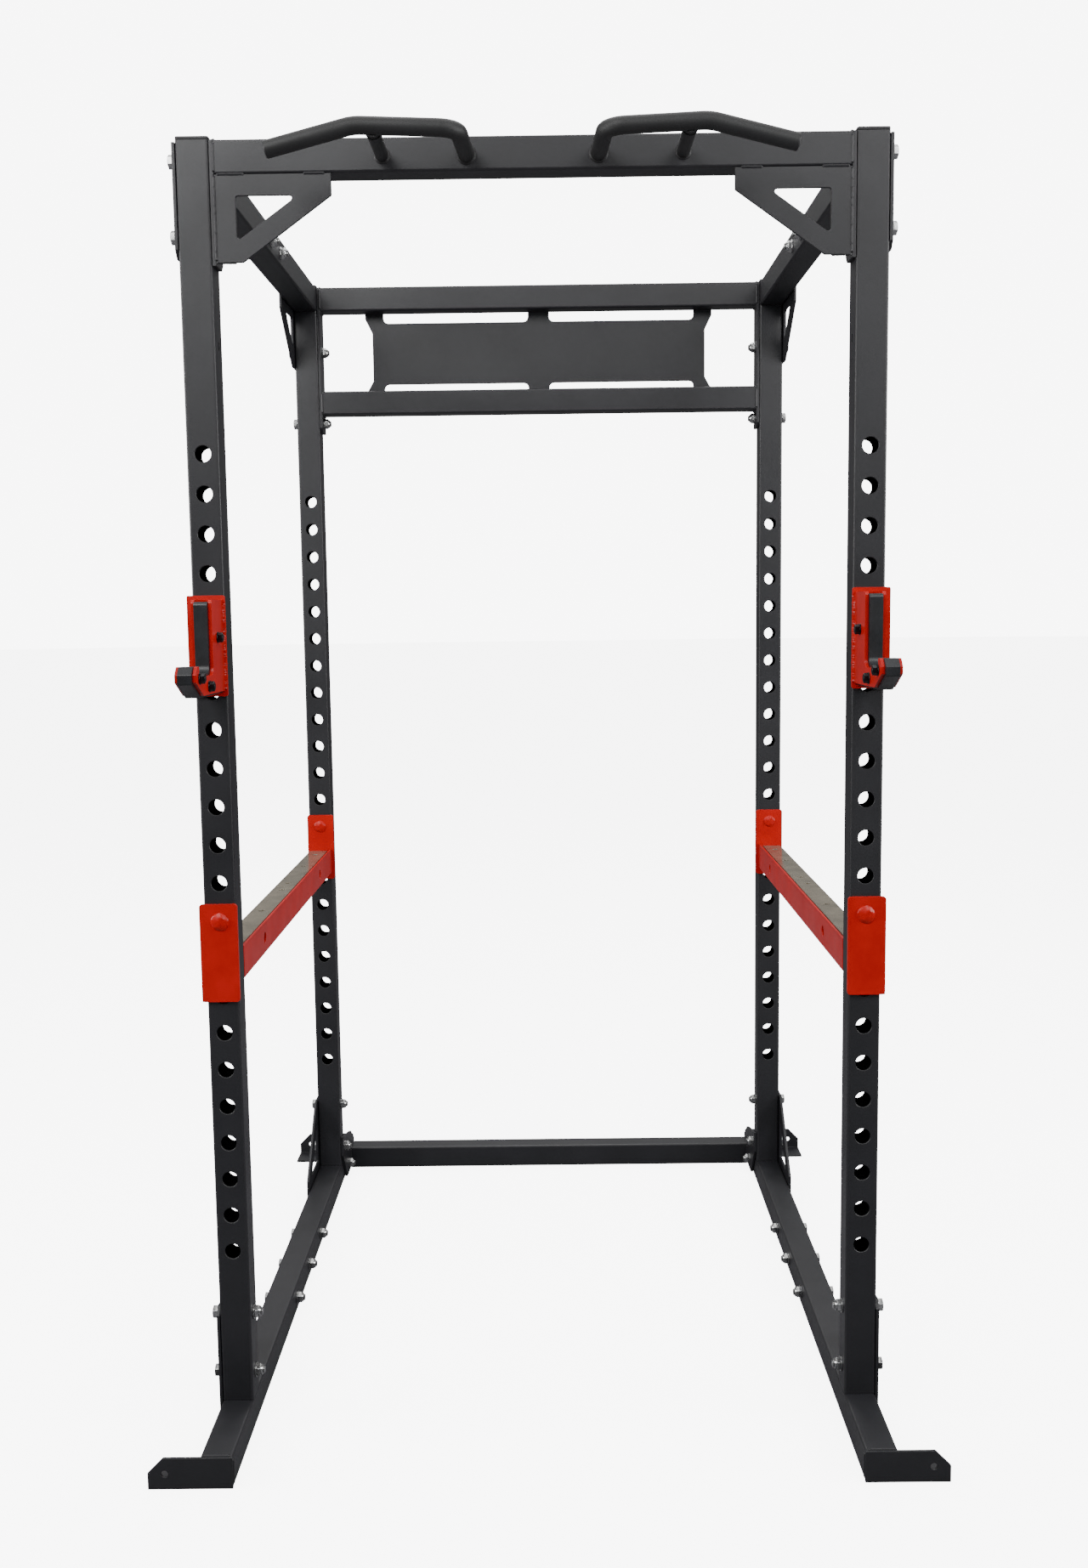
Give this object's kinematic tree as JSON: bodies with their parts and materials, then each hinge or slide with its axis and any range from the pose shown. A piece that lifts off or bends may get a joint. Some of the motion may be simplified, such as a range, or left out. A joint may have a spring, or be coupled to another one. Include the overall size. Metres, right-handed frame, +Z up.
{
  "type": "power cage",
  "caption": "Four-post steel lifting cage with a pull-up beam and bent grips, J-hooks that hold a barbell, flip-down safety bars and holes along every post for resetting them.",
  "frame": {"origin": "on the floor, at the middle of the footprint over the feet", "axes": "+Z up; the lifter walks in from -Y, so the pull-up beam is at -Y and the name plate at +Y; +X is the right side seen from -Y"},
  "size_m": [1.22, 1.4766, 2.0253],
  "materials": {
    "black_powder_coat": "satin",
    "red_powder_coat": "satin",
    "black_plastic": "matte",
    "grey_liner": "matte",
    "zinc_plate": "satin"
  },
  "bodies": {
    "frame": {"upright_front_left": "black_powder_coat", "upright_cap_front_left": "black_plastic", "foot_front_left": "black_powder_coat", "base_gusset_front_left": "black_powder_coat", "top_gusset_front_left": "black_powder_coat", "upright_rear_left": "black_powder_coat", "upright_cap_rear_left": "black_plastic", "foot_rear_left": "black_powder_coat", "base_gusset_rear_left": "black_powder_coat", "top_gusset_rear_left": "black_powder_coat", "base_rail_left": "black_powder_coat", "top_rail_left": "black_powder_coat", "front_end_plate_left": "black_powder_coat", "rear_end_plate_left": "black_powder_coat", "front_corner_gusset_left": "black_powder_coat", "pullup_grip_left": "black_plastic", "base_end_plate_left": "black_powder_coat", "base_bolt_upper_left": "zinc_plate", "base_bolt_lower_left": "zinc_plate", "upright_front_right": "black_powder_coat", "upright_cap_front_right": "black_plastic", "foot_front_right": "black_powder_coat", "base_gusset_front_right": "black_powder_coat", "top_gusset_front_right": "black_powder_coat", "upright_rear_right": "black_powder_coat", "upright_cap_rear_right": "black_plastic", "foot_rear_right": "black_powder_coat", "base_gusset_rear_right": "black_powder_coat", "top_gusset_rear_right": "black_powder_coat", "base_rail_right": "black_powder_coat", "top_rail_right": "black_powder_coat", "front_end_plate_right": "black_powder_coat", "rear_end_plate_right": "black_powder_coat", "front_corner_gusset_right": "black_powder_coat", "pullup_grip_right": "black_plastic", "base_end_plate_right": "black_powder_coat", "base_bolt_upper_right": "zinc_plate", "base_bolt_lower_right": "zinc_plate", "front_beam": "black_powder_coat", "rear_top_beam": "black_powder_coat", "rear_lower_beam": "black_powder_coat", "base_crossmember": "black_powder_coat", "name_plate": "black_powder_coat"},
    "j_hook_left": {"j_hook_bracket_left": "red_powder_coat", "j_hook_core_left": "black_plastic"},
    "safety_left": {"safety_bar_left": "red_powder_coat", "safety_front_bracket_left": "red_powder_coat", "safety_rear_bracket_left": "red_powder_coat", "safety_liner_front_left": "grey_liner", "safety_liner_rear_left": "grey_liner"},
    "j_hook_right": {"j_hook_bracket_right": "red_powder_coat", "j_hook_core_right": "black_plastic"},
    "safety_right": {"safety_bar_right": "red_powder_coat", "safety_front_bracket_right": "red_powder_coat", "safety_rear_bracket_right": "red_powder_coat", "safety_liner_front_right": "grey_liner", "safety_liner_rear_right": "grey_liner"}
  },
  "joints": [
    {"name": "j_hook_flip_left", "type": "hinge", "parent": "frame", "child": "j_hook_left", "pos_m": [-0.505, -0.5317, 1.323], "axis": [0, 1, 0], "range_deg": [0, 100]},
    {"name": "safety_flip_left", "type": "hinge", "parent": "frame", "child": "safety_left", "pos_m": [-0.505, -0.5317, 0.843], "axis": [0, 1, 0], "range_deg": [0, 100]},
    {"name": "j_hook_flip_right", "type": "hinge", "parent": "frame", "child": "j_hook_right", "pos_m": [0.505, -0.5317, 1.323], "axis": [0, -1, 0], "range_deg": [0, 100]},
    {"name": "safety_flip_right", "type": "hinge", "parent": "frame", "child": "safety_right", "pos_m": [0.505, -0.5317, 0.843], "axis": [0, -1, 0], "range_deg": [0, 100]}
  ]
}
